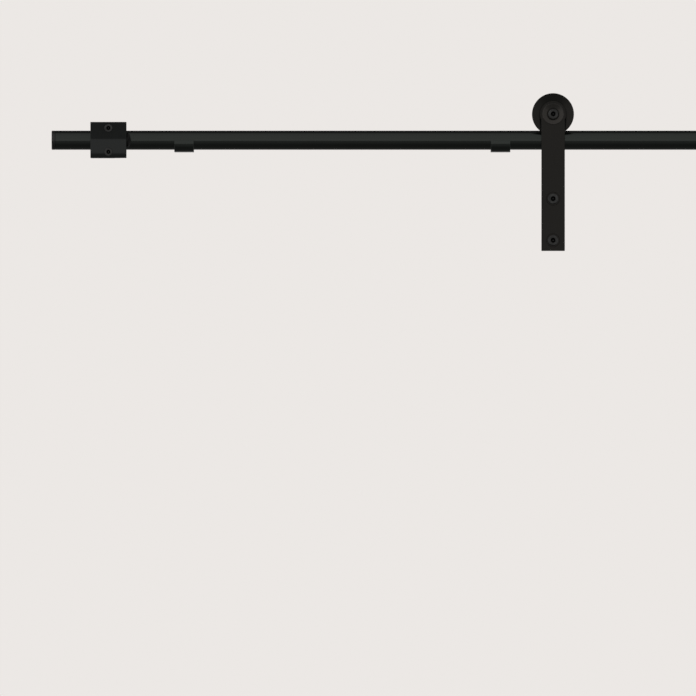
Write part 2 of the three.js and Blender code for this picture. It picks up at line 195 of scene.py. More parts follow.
class Recipe:
    """A node tree being filled in round one shader."""

    def __init__(self, tree, shader, output):
        self.tree = tree
        tree.nodes.clear()
        self.shader = tree.nodes.new(shader)
        surface = tree.nodes.new(output).inputs["Surface"]
        tree.links.new(self.shader.outputs[0], surface)

    def node(self, kind, settings=None, values=None, output=0):
        """Adds a node: its settings first, then the values or links of its sockets. Gives an output."""
        made = self.tree.nodes.new(kind)
        for key, value in (settings or {}).items():
            setattr(made, key, value)
        for key, value in (values or {}).items():
            self.feed(made.inputs[key], value)
        return Wire(self, made.outputs[output])

    def feed(self, socket, value):
        """Links a wire to a socket, or sets a value on it."""
        if isinstance(value, Wire):
            self.tree.links.new(value.socket, socket)
        else:
            socket.default_value = value

    def set(self, **values):
        """Feeds the shader's own sockets. A name's underscores stand for spaces."""
        for key, value in values.items():
            self.feed(self.shader.inputs[key.replace("_", " ")], value)

    def noise(self, grain, detail=2.0):
        """Noise from 0 to 1 whose grain is that size in metres."""
        place = self.node("ShaderNodeTexCoord", output="Object")
        return self.node("ShaderNodeTexNoise", None, {"Vector": place, "Scale": 1 / grain, "Detail": detail})

    def between(self, wire, low, high):
        """The wire's values from low to high, spread smoothly over 0 to 1."""
        values = {"Value": wire, "From Min": low, "From Max": high}
        return self.node("ShaderNodeMapRange", {"interpolation_type": "SMOOTHSTEP"}, values)

    def mix(self, factor, first, second):
        """A blend of two colours, each a wire or three numbers."""
        made = self.tree.nodes.new("ShaderNodeMix")
        made.data_type = "RGBA"
        self.feed(made.inputs["Factor"], factor)
        sockets = [socket for socket in made.inputs if socket.type == "RGBA"]
        for socket, value in zip(sockets, (first, second)):
            self.feed(socket, value if isinstance(value, Wire) else (*value, 1.0))
        return Wire(self, next(socket for socket in made.outputs if socket.type == "RGBA"))

    def bump(self, height, depth):
        """A normal for a skin that rises by depth metres where height is 1."""
        return self.node("ShaderNodeBump", None, {"Height": height, "Distance": depth, "Strength": 1.0})


def fine(name):
    """The name of the piece that stands for a node, or of the finish that stands for a slot's."""
    return f"{name}_fine"


def finish(name):
    """A new material and the recipe to fill it in with."""
    material = bpy.data.materials.new(fine(name))
    material.use_nodes = True
    return material, Recipe(material.node_tree, "ShaderNodeBsdfPrincipled", "ShaderNodeOutputMaterial")


def tint(shade, factor):
    """A colour made darker or lighter."""
    return tuple(min(1.0, part * factor) for part in shade)


def coated(name, gloss, cast):
    """Satin powder coat: an orange-peel skin, cloudy in its gloss, and rubbed brighter in places."""
    finishes = bpy.context.scene.barn_door_finishes
    material, recipe = finish(name)
    peel = recipe.noise(1.5 * MM, 2.0)
    speck = recipe.noise(0.4 * MM, 1.0)
    cloud = recipe.noise(40 * MM, 3.0)
    rubbed = recipe.between(recipe.noise(14 * MM, 4.0), 0.58, 0.72)
    tone = recipe.between(cloud * 0.6 + speck * 0.4, 0.35, 0.65)
    recipe.set(
        Base_Color=recipe.mix(tone, tint(finishes.coat, 0.85), tint(finishes.coat, 1.2)),
        Roughness=cloud * 0.06 - rubbed * 0.03 + (finishes.coat_roughness - 0.03),
        Normal=recipe.bump(peel * 0.8 + speck * 0.2, 0.005 * MM),
        Specular_IOR_Level=gloss,
        Specular_Tint=(*cast, 1.0),
    )
    return material


def powder_coat():
    """The coat on the rail and the brackets, faintly green."""
    return coated("powder_coat", bpy.context.scene.barn_door_finishes.rail_gloss, (0.90, 1.0, 0.94))


def stop_coat():
    """The stops' coat, nearly neutral."""
    return coated("stop_coat", bpy.context.scene.barn_door_finishes.stop_gloss, (0.95, 0.99, 1.0))


def hanger_coat():
    """The duller, warmer coat on the straps and the wheels."""
    return coated("hanger_coat", bpy.context.scene.barn_door_finishes.hanger_gloss, (1.0, 0.93, 0.87))


def washer_coat():
    """The washers' coat: as glossy as the rail's and as warm as the straps'."""
    return coated("washer_coat", bpy.context.scene.barn_door_finishes.rail_gloss, (1.0, 0.93, 0.87))


def black_oxide():
    """Blackened steel, a little oily: glossier than the coat, with fine scratches."""
    finishes = bpy.context.scene.barn_door_finishes
    material, recipe = finish("black_oxide")
    scratches = recipe.noise(0.5 * MM, 5.0)
    cloud = recipe.noise(6 * MM, 3.0)
    tone = recipe.between(cloud, 0.3, 0.7)
    recipe.set(
        Base_Color=recipe.mix(tone, tint(finishes.oxide, 0.75), tint(finishes.oxide, 1.3)),
        Metallic=0.85,
        Roughness=scratches * 0.16 + 0.2,
        Normal=recipe.bump(scratches, 0.006 * MM),
    )
    return material


def black_rubber():
    """Moulded rubber: matt, finely grained and a little dusty."""
    finishes = bpy.context.scene.barn_door_finishes
    material, recipe = finish("black_rubber")
    dust = recipe.between(recipe.noise(5 * MM, 4.0), 0.5, 0.8)
    recipe.set(
        Base_Color=recipe.mix(dust, tuple(finishes.rubber), tint(finishes.rubber, 2.2)),
        Roughness=dust * 0.1 + 0.62,
        Specular_IOR_Level=0.12,
        Normal=recipe.bump(recipe.noise(0.4 * MM, 3.0), 0.03 * MM),
    )
    return material


def black_plastic():
    """Moulded plastic with a fine spark-eroded grain."""
    finishes = bpy.context.scene.barn_door_finishes
    material, recipe = finish("black_plastic")
    cloud = recipe.noise(9 * MM, 3.0)
    tone = recipe.between(cloud, 0.3, 0.7)
    recipe.set(
        Base_Color=recipe.mix(tone, tint(finishes.plastic, 0.9), tint(finishes.plastic, 1.2)),
        Roughness=cloud * 0.08 + 0.32,
        Normal=recipe.bump(recipe.noise(0.6 * MM, 2.0), 0.015 * MM),
    )
    return material


def bright_metal(name, shade, roughness):
    """Plated or ground steel, faintly smeared."""
    material, recipe = finish(name)
    tone = recipe.between(recipe.noise(4 * MM, 4.0), 0.3, 0.7)
    recipe.set(
        Base_Color=recipe.mix(tone, tint(shade, 0.8), tint(shade, 1.08)),
        Metallic=1.0,
        Roughness=tone * 0.12 + roughness,
        Normal=recipe.bump(recipe.noise(0.3 * MM, 2.0), 0.006 * MM),
    )
    return material


def zinc_plate():
    """Bright zinc."""
    return bright_metal("zinc_plate", bpy.context.scene.barn_door_finishes.zinc, 0.26)


def bearing_steel():
    """Ground bearing steel."""
    return bright_metal("bearing_steel", bpy.context.scene.barn_door_finishes.steel, 0.14)


COATS = (powder_coat, stop_coat, hanger_coat, washer_coat)
METALS = (black_oxide, zinc_plate, bearing_steel)
FINISHES = {make.__name__: make for make in (*COATS, *METALS, black_rubber, black_plastic)}


# --- modelling steps ---

def deselect():
    """Object mode, with nothing selected."""
    if bpy.context.object and bpy.context.object.mode != "OBJECT":
        bpy.ops.object.mode_set(mode="OBJECT")
    bpy.ops.object.select_all(action="DESELECT")


def choose(piece):
    """Selects one piece on its own and makes it the active one."""
    deselect()
    piece.select_set(True)
    bpy.context.view_layer.objects.active = piece


def named(name):
    """Names the object that was just added."""
    piece = bpy.context.active_object
    piece.name = piece.data.name = name
    return piece


def edit(piece):
    """Opens a piece in edit mode with everything selected."""
    choose(piece)
    bpy.ops.object.mode_set(mode="EDIT")
    bpy.ops.mesh.select_mode(type="VERT")
    bpy.ops.mesh.select_all(action="SELECT")


def pick_faces(piece, test):
    """Selects only the faces that pass a test, in edit mode."""
    bpy.ops.mesh.select_mode(type="FACE")
    bpy.ops.mesh.select_all(action="DESELECT")
    mesh = bmesh.from_edit_mesh(piece.data)
    mesh.normal_update()
    for face in mesh.faces:
        face.select_set(bool(test(face)))
    bmesh.update_edit_mesh(piece.data)


def close(piece):
    """Merges doubled corners, turns the faces outwards and goes back to object mode."""
    bpy.ops.mesh.select_mode(type="VERT")
    bpy.ops.mesh.select_all(action="SELECT")
    bpy.ops.mesh.remove_doubles(threshold=0.001 * MM)
    bpy.ops.mesh.normals_make_consistent(inside=False)
    bpy.ops.object.mode_set(mode="OBJECT")
    return piece


def settle(piece):
    """Moves a piece's place and turn into its mesh."""
    choose(piece)
    bpy.ops.object.transform_apply(location=True, rotation=True, scale=True)
    return piece


def draw(name, points):
    """Starts a piece as a single corner, and extrudes it from point to point. Stays in edit mode."""
    deselect()
    bpy.ops.mesh.primitive_plane_add(size=MM, location=(0, 0, 0))
    piece = named(name)
    edit(piece)
    bpy.ops.mesh.merge(type="CENTER")
    bpy.ops.transform.translate(value=points[0])
    for start, end in zip(points, points[1:]):
        bpy.ops.mesh.extrude_region_move(TRANSFORM_OT_translate={"value": end - start})
    bpy.ops.mesh.select_all(action="SELECT")
    return piece


def spun(name, outline, centre, axis, steps=64):
    """A turned piece: an outline of (radius, height) points, spun all the way round an axis."""
    outward = axis.orthogonal().normalized()
    piece = draw(name, [centre + outward * radius + axis * height for radius, height in outline])
    bpy.ops.mesh.spin(steps=steps, angle=math.tau, center=centre, axis=axis)
    return close(piece)


def spun_ring(name, outline, centre, axis, steps=64):
    """A turned ring, whose outline ends where it starts."""
    return spun(name, [*outline, outline[0]], centre, axis, steps)


def slab(name, outline, origin, across, upwards, depth):
    """A closed flat outline, filled and extruded by the vector depth."""
    points = [origin + across * u + upwards * v for u, v in outline]
    piece = draw(name, points)
    bpy.ops.mesh.edge_face_add()
    bpy.ops.mesh.extrude_region_move(TRANSFORM_OT_translate={"value": depth})
    return close(piece)


def arc(u, v, radius, start, end, steps):
    """Points of an arc about (u, v), from one angle to another in degrees."""
    angles = [math.radians(start + (end - start) * i / steps) for i in range(steps + 1)]
    return [(u + radius * math.cos(a), v + radius * math.sin(a)) for a in angles]


def bar(centre, axis, radius, start, end, vertices=48):
    """A cutter: a cylinder along an axis, or a hexagonal bar with six corners."""
    deselect()
    bpy.ops.mesh.primitive_cylinder_add(
        vertices=vertices,
        radius=radius,
        depth=abs(end - start),
        location=centre + axis * (start + end) / 2,
        rotation=axis.to_track_quat("Z", "Y").to_euler(),
    )
    return settle(named("cutter"))


def drill(centre, axis, radius, depth, flare, shank, reach):
    """A cutter: a recess with a broken edge at its mouth, and a narrower hole on from its floor."""
    outline = [
        (0, -MM),
        (radius + flare + MM, -MM),
        (radius, flare),
        (radius, depth),
        (shank, depth),
        (shank, reach),
        (0, reach),
    ]
    return spun("cutter", outline, centre, axis)


def block(low, high):
    """A cutter: a box between two corners."""
    deselect()
    low, high = Vector(low), Vector(high)
    bpy.ops.mesh.primitive_cube_add(size=1, location=(low + high) / 2, scale=high - low)
    return settle(named("cutter"))


def apply_modifier(piece, kind, **settings):
    """Adds a modifier to a piece and applies it."""
    choose(piece)
    modifier = piece.modifiers.new(kind.title(), kind)
    for key, value in settings.items():
        setattr(modifier, key, value)
    bpy.ops.object.modifier_apply(modifier=modifier.name)
    return piece


def carve(piece, *cutters, operation="DIFFERENCE"):
    """Cuts a piece with other shapes, which are then deleted."""
    for cutter in cutters:
        apply_modifier(piece, "BOOLEAN", object=cutter, operation=operation, solver="MANIFOLD")
        bpy.data.objects.remove(cutter)
    return piece


def smooth(piece, angle=32):
    """Smooths the shading across edges up to an angle in degrees, and keeps flat faces flat."""
    choose(piece)
    bpy.ops.object.shade_smooth_by_angle(angle=math.radians(angle))
    return apply_modifier(piece, "WEIGHTED_NORMAL", keep_sharp=True)


def soften(piece, width, segments=3, angle=32):
    """Rounds the edges sharper than an angle in degrees."""
    apply_modifier(
        piece,
        "BEVEL",
        width=width,
        segments=segments,
        limit_method="ANGLE",
        angle_limit=math.radians(angle),
    )
    return piece


def joined(name, pieces):
    """Several pieces as one."""
    deselect()
    for piece in pieces:
        piece.select_set(True)
    bpy.context.view_layer.objects.active = pieces[0]
    bpy.ops.object.join()
    return named(name)


def copied(piece, name, shift):
    """A copy with its own mesh, moved by a vector."""
    choose(piece)
    bpy.ops.object.duplicate()
    twin = named(name)
    edit(twin)
    bpy.ops.transform.translate(value=shift)
    bpy.ops.object.mode_set(mode="OBJECT")
    return twin


def mirrored(piece, name):
    """The opposite hand of a piece, as far from the rail's middle on the other side."""
    twin = copied(piece, name, Vector())
    edit(twin)
    bpy.ops.transform.resize(value=(-1, 1, 1), center_override=(0, 0, 0))
    return close(twin)


def threaded(centre, axis, core, crest, start, end, pitch, steps=24):
    """A helical ridge that winds round a screw, with its foot inside the screw's core."""
    foot = core - (crest - core) / 3
    side = 0.4 * pitch
    outline = [(foot, -side), (crest, 0), (foot, side)]
    ridge = draw("ridge", [Vector((radius, 0, start + height)) for radius, height in outline])
    bpy.ops.mesh.edge_face_add()
    bpy.ops.mesh.delete(type="ONLY_FACE")
    bpy.ops.object.mode_set(mode="OBJECT")
    turns = int((end - start) / pitch)
    apply_modifier(
        ridge,
        "SCREW",
        angle=math.tau,
        screw_offset=pitch,
        iterations=turns,
        steps=steps,
        render_steps=steps,
    )
    edit(ridge)
    bpy.ops.mesh.remove_doubles(threshold=0.001 * MM)
    bpy.ops.mesh.fill_holes(sides=len(outline))
    close(ridge)
    ridge.rotation_euler = axis.to_track_quat("Z", "Y").to_euler()
    ridge.location = centre
    return settle(ridge)


def hex_socket(head, centre, axis, across_flats, depth):
    """Cuts a hexagonal socket into a screw's head, with a broken edge and a drill point at its bottom."""
    corner = across_flats / math.sqrt(3)
    bit = bar(centre, axis, corner, -MM, depth, vertices=6)
    edit(bit)
    floor = centre + axis * depth
    point = axis * corner * 0.7
    pick_faces(bit, lambda face: (face.calc_center_median() - floor).length < 0.1 * MM)
    bpy.ops.mesh.extrude_region_move(TRANSFORM_OT_translate={"value": point})
    bpy.ops.transform.resize(value=(0.2, 0.2, 0.2), center_override=floor + point)
    close(bit)
    rim = corner - 0.1 * MM
    mouth = [(0, -MM), (rim + MM, -MM), (rim - 0.5 * MM, 0.5 * MM), (0, 0.5 * MM)]
    return carve(head, bit, spun("cutter", mouth, centre, axis))


def deliver(piece, node, coat=None):
    """Hands a finished piece over in place of its CAD node, on the node's body and in its finish."""
    settle(piece)
    slot = SLOT_OF[node]
    name = coat or slot
    piece.data.materials.clear()
    piece.data.materials.append(bpy.data.materials.get(fine(name)) or FINISHES[name]())
    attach(piece, BODY_OF[node])
    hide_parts(node)
    return piece


def on_both_hangers(make, node, coat=None):
    """Makes a hanger's piece on the left, and copies it to the right. {side} in node is the side."""
    left = node.format(side="left")
    piece = make(left)
    right = node.format(side="right")
    twin = copied(piece, fine(right), AXLE["right"] - AXLE["left"])
    deliver(piece, left, coat)
    deliver(twin, right, coat)


# --- rail ---

def rail_tube(sizes):
    """A tube with a broken edge at each end and a screw hole under each bracket."""
    low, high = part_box("rail_tube")
    edge = sizes.fine_edge
    inner = RAIL_RADIUS - sizes.rail_wall
    half = (high.x - low.x) / 2
    outline = [
        (inner, -half),
        (RAIL_RADIUS - edge, -half),
        (RAIL_RADIUS, edge - half),
        (RAIL_RADIUS, half - edge),
        (RAIL_RADIUS - edge, half),
        (inner, half),
    ]
    tube = spun_ring(fine("rail_tube"), outline, RAIL, ALONG, steps=128)
    hole = size("rail_screw_1").x / 4
    for number in BRACKETS:
        spot = Vector((middle(f"rail_screw_{number}").x, RAIL.y, RAIL.z))
        carve(tube, bar(spot, UP, hole, -RAIL_RADIUS - MM, -RAIL_RADIUS / 2))
    return smooth(tube)


def end_cap(sizes):
    """The right end cap: a plug inside the tube and a head with rounded edges."""
    low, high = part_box("end_cap_right")
    edge = sizes.fine_edge
    plug = RAIL_RADIUS - sizes.rail_wall - sizes.seat_gap
    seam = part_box("rail_tube")[1].x + 0.1 * MM
    head = high.x - seam
    tail = low.x - seam
    corner = 0.9 * MM
    outline = [
        (0, tail),
        (plug - MM, tail),
        (plug, tail + 2 * MM),
        (plug, 0),
        (RAIL_RADIUS - edge, 0),
        (RAIL_RADIUS, edge),
        *arc(RAIL_RADIUS - corner, head - corner, corner, 0, 90, 6),
        (0, head),
    ]
    return smooth(spun(fine("end_cap_right"), outline, Vector((seam, RAIL.y, RAIL.z)), ALONG, steps=96))


# --- brackets ---

def bracket(sizes):
    """The first bracket: a plate on the wall, an arm, and a cradle that ends in a lip before the rail."""
    low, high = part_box("bracket_1")
    standoff = -RAIL.y
    bottom = low.z
    outer = -bottom
    seat = RAIL_RADIUS + sizes.seat_gap
    arm_top = bottom + sizes.arm
    meet = math.degrees(math.asin(arm_top / outer))
    fillet = sizes.fillet
    outline = [
        (0, bottom),
        *arc(standoff + outer - sizes.nose, bottom + sizes.nose, sizes.nose, -90, 0, 24),
        (standoff + outer, 0),
        *arc(standoff, 0, seat, 0, -180, 48),
        *arc(standoff, 0, outer, 180, 180 - meet, 12),
        *arc(sizes.plate + fillet, arm_top + fillet, fillet, -90, -180, 8),
        (sizes.plate, high.z),
        (0, high.z),
    ]
    body = slab(fine("bracket_1"), outline, Vector((low.x, 0, 0)), -BACK, UP, ALONG * (high.x - low.x))
    soften(body, sizes.edge)
    return body


def countersink(centre, axis, head, shank):
    """A cutter: a countersunk hole for a screw whose head lies at centre."""
    gap = 0.3 * MM
    cone = head - shank
    outline = [
        (0, -2 * MM),
        (head + gap, -2 * MM),
        (head + gap, HEAD_RIM),
        (shank + gap, HEAD_RIM + cone),
        (shank + gap, 20 * MM),
        (0, 20 * MM),
    ]
    return spun("cutter", outline, centre, axis, steps=48)


def countersunk_screw(name, centre, axis, head, shank, reach, point, thread_start, pitch):
    """A countersunk screw with a hexagonal socket, a helical thread and a point."""
    cone = head - shank
    rim = 0.1 * MM
    core = shank * 0.72
    outline = [
        (0, 0),
        (head - rim, 0),
        (head, rim),
        (head, HEAD_RIM),
        (shank, HEAD_RIM + cone),
        (shank, thread_start),
        (core, thread_start + shank / 2),
        (core, reach - point),
        (core * 0.2, reach),
        (0, reach),
    ]
    body = spun(name, outline, centre, axis, steps=48)
    hex_socket(body, centre, axis, 3 * MM, cone * 0.6)
    ridge = threaded(centre, axis, core, shank, thread_start + shank / 2, reach - point / 2, pitch)
    return smooth(joined(name, [body, ridge]))


# --- stops ---

def stop_section(sizes):
    """A stop's side view as two outlines, its front half and its rear half.

    The front leans back from its top edge to a soft crease, comes forward again below it, and
    rounds off towards the bottom.
    """
    low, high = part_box("stop_left_front_half")
    rear_low, rear_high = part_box("stop_left_rear_half")
    bore = RAIL_RADIUS + 0.1 * MM
    front_split = high.y - RAIL.y
    rear_split = rear_low.y - RAIL.y
    angle = math.degrees(math.asin(rear_split / bore))
    nose = low.y - RAIL.y
    slope = sizes.lean / (high.z - sizes.crease)
    rise = 2.5  # degrees by which the front comes forward below the crease
    turn = -14  # the same at the bottom edge, where it leans back
    soft = 1.6 * MM  # half the height that the crease is rounded over
    bend = -13 * MM  # height at which the front starts to round off
    valley = nose + sizes.lean
    forward = math.tan(math.radians(rise))
    shoulder = valley - (sizes.crease - bend) * forward
    sweep = (bend - low.z) / (math.sin(math.radians(rise)) - math.sin(math.radians(turn)))
    centre_u = shoulder + sweep * math.cos(math.radians(rise))
    centre_v = bend - sweep * math.sin(math.radians(rise))
    front_half = [
        (front_split, high.z),
        (nose, high.z),
        (valley - soft * slope, sizes.crease + soft),
        (valley - soft * slope / 2, sizes.crease),
        (valley - soft * forward, sizes.crease - soft),
        *arc(centre_u, centre_v, sweep, 180 - rise, 180 - turn, 8),
        (front_split, low.z),
        *arc(0, 0, bore, 270 - angle, 90 + angle, 48),
    ]
    rear_half = [
        (rear_high.y - RAIL.y, low.z),
        (rear_high.y - RAIL.y, high.z),
        (rear_split, high.z),
        *arc(0, 0, bore, 90 - angle, angle - 90, 48),
        (rear_split, low.z),
    ]
    return front_half, rear_half


def stop_half(sizes, node, outline, rebate_front):
    """Half of the left stop: its section run along the rail, relieved on its inner side."""
    low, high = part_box(node)
    origin = Vector((low.x, RAIL.y, RAIL.z))
    body = slab(fine(node), outline, origin, BACK, UP, ALONG * (high.x - low.x))
    relief_low = (high.x - sizes.rebate, rebate_front, low.z - MM)
    relief_high = (high.x + MM, high.y + MM, high.z + MM)
    carve(body, block(relief_low, relief_high))
    return soften(body, sizes.edge)


def bumper():
    """The left stop's rubber dome, with a rounded foot and a stem in the stop."""
    low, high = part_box("stop_left_bumper")
    radius = (high.z - low.z) / 2
    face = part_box("stop_left_front_half")[1].x
    proud = high.x - face
    seat = low.x - face
    lift = 0.1 * MM
    foot = 0.5 * MM
    rim = 1.6 * MM
    dome = [
        (radius * math.cos(math.radians(a)), rim + (proud - rim) * math.sin(math.radians(a)))
        for a in range(0, 91, 6)
    ]
    outline = [
        (0, seat),
        (radius / 2, seat),
        (radius / 2, lift),
        (radius - foot, lift),
        *arc(radius - foot, lift + foot, foot, -90, 0, 4),
        *dome,
    ]
    spot = Vector((face, middle("stop_left_bumper").y, middle("stop_left_bumper").z))
    return smooth(spun(fine("stop_left_bumper"), outline, spot, ALONG, steps=64))


def cap_screw(name, centre, head, head_height, shank, reach, socket, pitch, thread_length):
    """A socket cap screw pointing backwards: a fluted head, a plain shank and a helical thread."""
    edge = 0.5 * MM
    core = shank * 0.88
    thread_start = reach - thread_length
    outline = [
        (0, 0),
        (head - edge, 0),
        *arc(head - edge, edge, edge, -60, 0, 3),
        (head, head_height - edge / 2),
        (head - edge / 2, head_height),
        (shank, head_height),
        (shank, thread_start),
        (core, thread_start + shank / 4),
        (core, reach - edge),
        (core - edge, reach),
        (0, reach),
    ]
    body = spun(name, outline, centre, BACK, steps=72)
    edit(body)

    def is_flute(face):
        spot = face.calc_center_median() - centre
        around = int(math.degrees(math.atan2(spot.x, spot.z)) // 5)
        on_side = abs(face.normal.y) < 0.01 and math.hypot(spot.x, spot.z) > head - edge
        return on_side and around % 2 == 0

    pick_faces(body, is_flute)
    bpy.ops.mesh.inset(thickness=0.06 * MM, depth=-0.18 * MM, use_individual=True)
    close(body)
    hex_socket(body, centre, BACK, socket, head_height * 0.55)
    ridge = threaded(centre, BACK, core, shank, thread_start + shank / 4, reach - 2 * edge, pitch)
    return smooth(joined(name, [body, ridge]))


# --- hangers ---

def strap(node, sizes):
    """A flat strap with a round top, a hole for the axle and a recessed hole for each door bolt."""
    low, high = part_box(node)
    axle = Vector((AXLE["left"].x, low.y, AXLE["left"].z))
    half = (high.x - low.x) / 2
    bottom = low.z - axle.z
    corner = 0.8 * MM
    outline = [
        *arc(0, 0, half, 0, 180, 64),
        *arc(corner - half, bottom + corner, corner, 180, 270, 4),
        *arc(half - corner, bottom + corner, corner, 270, 360, 4),
    ]
    body = slab(fine(node), outline, axle, ALONG, UP, BACK * (high.y - low.y))
    soften(body, sizes.edge)
    through = 8 * MM
    cutters = [bar(axle, BACK, BOLT_HOLE, -MM, through)]
    for level in LEVELS:
        spot = Vector((axle.x, low.y, middle(f"door_bolt_left_{level}").z))
        cutters.append(
            drill(spot, BACK, sizes.counterbore, sizes.counterbore_depth, 0.3 * MM, BOLT_HOLE, through)
        )
    return smooth(carve(body, *cutters))


def wheel(node, sizes):
    """A wheel with a round groove, dished faces, a bearing pocket and a shoulder in front of it."""
    outer = size(node).z / 2
    face = size(node).y / 2
    groove = sizes.groove
    reach = math.degrees(math.acos((groove - outer + sizes.groove_bottom) / groove))
    hub = 17 * MM
    lip = outer - MM
    edge = 0.8 * MM
    pocket = size("bearing_left_outer_race").z / 2 + 0.1 * MM
    stop = size("bearing_left_outer_race").y / 2 + 0.1 * MM
    shoulder = 9.6 * MM
    outline = [
        (hub, sizes.dish - face),
        (lip, -face),
        *arc(outer - edge, edge - face, edge, -90, 0, 5),
        *arc(sizes.groove_bottom + groove, 0, groove, 180 + reach, 180 - reach, 24),
        *arc(outer - edge, face - edge, edge, 0, 90, 5),
        (lip, face),
        (hub, face - sizes.dish),
        (pocket + sizes.fine_edge, face - sizes.dish),
        (pocket, face - sizes.dish - sizes.fine_edge),
        (pocket, -stop),
        (shoulder, -stop),
        (shoulder, sizes.dish - face + sizes.fine_edge),
        (shoulder + sizes.fine_edge, sizes.dish - face),
    ]
    return smooth(spun_ring(fine(node), outline, AXLE["left"], BACK, steps=128), angle=6)


def race(node, inward):
    """A bearing race with a ball track on one side. inward is 1 for the outer race, -1 for the inner."""
    low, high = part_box(node)
    half = (high.y - low.y) / 2
    rim = (high.z - low.z) / 2
    track = 2.2 * MM
    wall, land = (rim, BALL_CIRCLE + 1.6 * MM) if inward > 0 else (BOLT_HOLE, rim)
    edge = 0.3 * MM
    side = math.degrees(math.acos(abs(land - BALL_CIRCLE) / track))
    middle_angle = 0 if inward > 0 else 180
    outline = [
        (wall, edge - half),
        (wall, half - edge),
        (wall - inward * edge, half),
        (land, half),
        *arc(BALL_CIRCLE, 0, track, middle_angle + inward * side, middle_angle - inward * side, 10),
        (land, -half),
        (wall - inward * edge, -half),
    ]
    return smooth(spun_ring(fine(node), outline, AXLE["left"], BACK, steps=96))


def ball_cage(node):
    """Seven balls in the ribbon that spaces them."""
    ball = 1.9 * MM
    thin = 0.25 * MM
    inner, outer = BALL_CIRCLE - thin, BALL_CIRCLE + thin
    count = 7
    ribbon = [(inner, -MM), (outer, -MM), (outer, MM), (inner, MM)]
    parts = [spun_ring(fine(node), ribbon, AXLE["left"], BACK, steps=84)]
    for number in range(count):
        angle = math.tau * number / count
        spot = AXLE["left"] + (ALONG * math.sin(angle) + UP * math.cos(angle)) * BALL_CIRCLE
        deselect()
        bpy.ops.mesh.primitive_ico_sphere_add(subdivisions=4, radius=ball, location=spot)
        parts.append(settle(named("ball")))
    return smooth(joined(fine(node), parts))


def circlip(node):
    """A spring ring with a gap at the top and an eye at each side of it."""
    low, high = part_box(node)
    outer = (high.z - low.z) / 2
    inner = outer - 1.3 * MM
    eye = outer - 2.5 * MM
    # In degrees, the gap is 16 wide and each eye 12, with 6 more to slope from the eye to the ring.
    outline = [
        *arc(0, 0, outer, 98, 442, 86),
        *arc(0, 0, eye, 442, 430, 3),
        *arc(0, 0, inner, 424, 116, 77),
        *arc(0, 0, eye, 110, 98, 3),
    ]
    origin = Vector((AXLE["left"].x, low.y, AXLE["left"].z))
    body = slab(fine(node), outline, origin, ALONG, UP, BACK * (high.y - low.y))
    soften(body, 0.12 * MM, segments=2, angle=50)
    eye_place = (outer + eye) / 2
    for angle in (76, 104):
        turn = math.radians(angle)
        spot = origin + (ALONG * math.cos(turn) + UP * math.sin(turn)) * eye_place
        carve(body, bar(spot, BACK, 0.65 * MM, -MM, 3 * MM, vertices=24))
    return smooth(body)


def spacer(node, sizes):
    """A tube that holds the bearing off the strap."""
    low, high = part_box(node)
    outer = (high.z - low.z) / 2
    edge = sizes.fine_edge
    reach = high.y - low.y
    outline = [
        (BOLT_HOLE, edge),
        (BOLT_HOLE + edge, 0),
        (outer - edge, 0),
        (outer, edge),
        (outer, reach - edge),
        (outer - edge, reach),
        (BOLT_HOLE + edge, reach),
        (BOLT_HOLE, reach - edge),
    ]
    return smooth(spun_ring(fine(node), outline, front(node), BACK, steps=64))


def washer(node):
    """A turned washer, dished round a flat seat for the bolt's head."""
    low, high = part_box(node)
    outer = (high.z - low.z) / 2
    thick = high.y - low.y
    seat = 6.8 * MM
    dish = 0.9 * MM
    edge = 0.5 * MM
    outline = [
        (BOLT_HOLE, dish),
        (seat, dish),
        *arc(outer - edge, edge, edge, -90, 0, 5),
        (outer, thick - edge / 2),
        (outer - edge / 2, thick),
        (BOLT_HOLE, thick),
    ]
    return smooth(spun_ring(fine(node), outline, front(node), BACK, steps=96), angle=8)


def hexagonal_nut(node):
    """A nut with turned-down corners, cut from a hexagonal bar."""
    low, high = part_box(node)
    across_flats = 13 * MM
    corner = across_flats / math.sqrt(3)
    reach = high.y - low.y
    spot = front(node)
    body = bar(spot, BACK, corner, 0, reach, vertices=6)
    body.name = body.data.name = fine(node)
    bevel = 1.1 * MM
    slant = 1.2 * MM
    blank = [
        (0, 0),
        (corner - bevel, 0),
        (corner + MM, slant),
        (corner + MM, reach - slant),
        (corner - bevel, reach),
        (0, reach),
    ]
    carve(body, spun("cutter", blank, spot, BACK, steps=96), operation="INTERSECT")
    flare = 0.5 * MM
    hole = [
        (0, -MM),
        (BOLT_HOLE + flare + MM, -MM),
        (BOLT_HOLE, flare),
        (BOLT_HOLE, reach - flare),
        (BOLT_HOLE + flare + MM, reach + MM),
        (0, reach + MM),
    ]
    return smooth(carve(body, spun("cutter", hole, spot, BACK)), angle=20)


def door_bolt(node):
    """A pan-headed bolt with a hexagonal socket and a helical thread."""
    low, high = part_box(node)
    head = (high.z - low.z) / 2
    crown = 5.9 * MM
    rise = 1.1 * MM
    height = 4.4 * MM
    shank = 3.8 * MM
    reach = high.y - low.y
    core = 3.4 * MM
    plain = 10 * MM
    bulge = [
        (crown + (head - crown) * math.sin(math.radians(a)), rise * (1 - math.cos(math.radians(a))))
        for a in range(0, 91, 9)
    ]
    outline = [
        (0, 0),
        *bulge,
        (head, height - 0.2 * MM),
        (head - 0.2 * MM, height),
        (shank, height),
        (shank, plain),
        (core, plain + MM),
        (core, reach - MM / 2),
        (core - MM / 2, reach),
        (0, reach),
    ]
    spot = front(node)
    body = spun(fine(node), outline, spot, BACK, steps=72)
    hex_socket(body, spot, BACK, 6 * MM, height * 0.6)
    ridge = threaded(spot, BACK, core, shank, plain + MM, reach - MM, 1.25 * MM)
    return smooth(joined(fine(node), [body, ridge]), angle=28)


